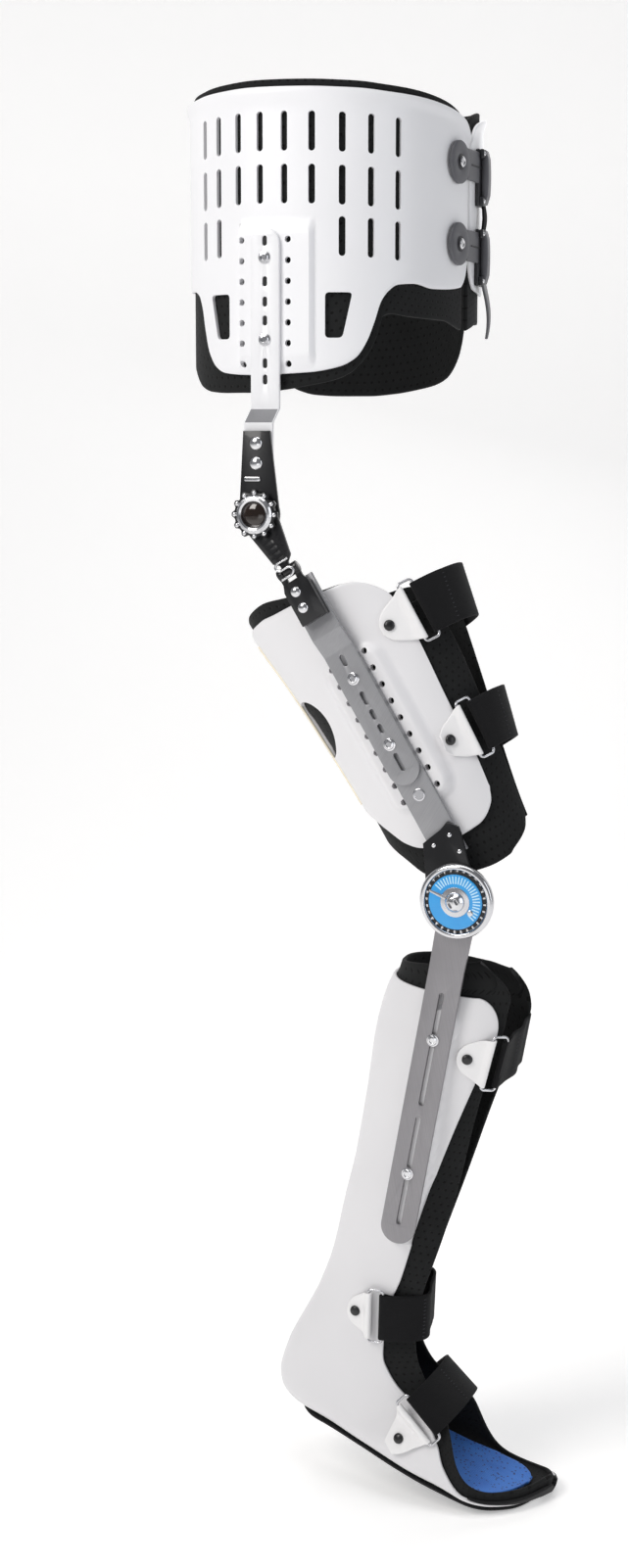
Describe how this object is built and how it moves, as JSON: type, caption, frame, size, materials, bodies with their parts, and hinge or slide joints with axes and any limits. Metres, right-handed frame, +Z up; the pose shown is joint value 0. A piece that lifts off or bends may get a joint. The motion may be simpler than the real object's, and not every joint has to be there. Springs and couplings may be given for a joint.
{
  "type": "hip knee ankle foot orthosis",
  "caption": "Leg brace for the right hip, thigh, knee, calf and foot: slotted plastic shells with foam liners, side bars, hip hinge, knee dial, straps and buckles.",
  "frame": {"origin": "middle of the pelvic ring, where the wearer's pelvis sits", "axes": "+X forwards, +Y to the wearer's left, +Z up; the braced right leg's outer side faces -Y"},
  "size_m": [0.3508, 0.3168, 1.1893],
  "materials": {
    "shell_plastic": "white moulded plastic, satin gloss",
    "liner_foam": "matte black foam with small punched holes",
    "strap_webbing": "black hook and loop webbing",
    "closure_plastic": "dark grey moulded plastic",
    "hip_bar_paint": "pale satin paint over steel",
    "bar_aluminium": "satin grey aluminium",
    "plate_black": "black gloss on steel",
    "chrome_steel": "polished",
    "rivet_black": "black snap caps",
    "dial_blue": "blue dial face with radial marks",
    "insole_cloth": "blue textile",
    "outsole_rubber": "thin black rubber"
  },
  "bodies": {
    "pelvis": {"pelvic_shell_right": "shell_plastic", "pelvic_shell_left": "shell_plastic", "pelvic_liner_right": "liner_foam", "pelvic_liner_left": "liner_foam", "back_strap_upper": "strap_webbing", "back_strap_lower": "strap_webbing", "ladder_strap_upper": "closure_plastic", "closure_buckle_upper": "closure_plastic", "closure_rivet_upper": "chrome_steel", "ladder_strap_lower": "closure_plastic", "closure_buckle_lower": "closure_plastic", "closure_rivet_lower": "chrome_steel", "hip_bar": "hip_bar_paint", "hip_bar_bolt_1": "chrome_steel", "hip_bar_bolt_2": "chrome_steel", "hip_upper_plate": "plate_black", "hip_hinge_cover": "chrome_steel"},
    "hip_link": {"hip_link": "plate_black"},
    "thigh": {"thigh_knuckle_plate": "plate_black", "thigh_bar_upper": "bar_aluminium", "thigh_bar_lower": "bar_aluminium", "thigh_bar_bolt_1": "chrome_steel", "thigh_bar_bolt_2": "chrome_steel", "thigh_shell": "shell_plastic", "thigh_liner": "liner_foam", "knee_plate": "plate_black", "knee_housing": "chrome_steel", "knee_dial": "dial_blue", "knee_knob": "chrome_steel", "thigh_upper_tab": "shell_plastic", "thigh_upper_loop": "chrome_steel", "thigh_upper_rivet": "rivet_black", "thigh_upper_strap": "strap_webbing", "thigh_lower_tab": "shell_plastic", "thigh_lower_loop": "chrome_steel", "thigh_lower_rivet": "rivet_black", "thigh_lower_strap": "strap_webbing"},
    "shank": {"shank_bar": "bar_aluminium", "shank_bar_bolt_1": "chrome_steel", "shank_bar_bolt_2": "chrome_steel", "leg_shell": "shell_plastic", "leg_liner": "liner_foam", "insole": "insole_cloth", "outsole": "outsole_rubber", "calf_tab": "shell_plastic", "calf_loop": "chrome_steel", "calf_rivet": "rivet_black", "calf_strap": "strap_webbing", "ankle_tab": "shell_plastic", "ankle_loop": "chrome_steel", "ankle_rivet": "rivet_black", "ankle_strap": "strap_webbing", "instep_tab": "shell_plastic", "instep_loop": "chrome_steel", "instep_rivet": "rivet_black", "instep_strap": "strap_webbing"}
  },
  "joints": [
    {"name": "hip_flexion", "type": "hinge", "parent": "pelvis", "child": "hip_link", "pos_m": [-0.005, -0.165, -0.239], "axis": [0, -1, 0], "range_deg": [-40, 55]},
    {"name": "hip_abduction", "type": "hinge", "parent": "hip_link", "child": "thigh", "pos_m": [0.02238, -0.1672, -0.28438], "axis": [-0.8563, 0, -0.5165], "range_deg": [-5, 10]},
    {"name": "knee_flexion", "type": "hinge", "parent": "thigh", "child": "shank", "pos_m": [0.1657, -0.16, -0.5471], "axis": [0, 1, 0], "range_deg": [-41, 60]}
  ]
}
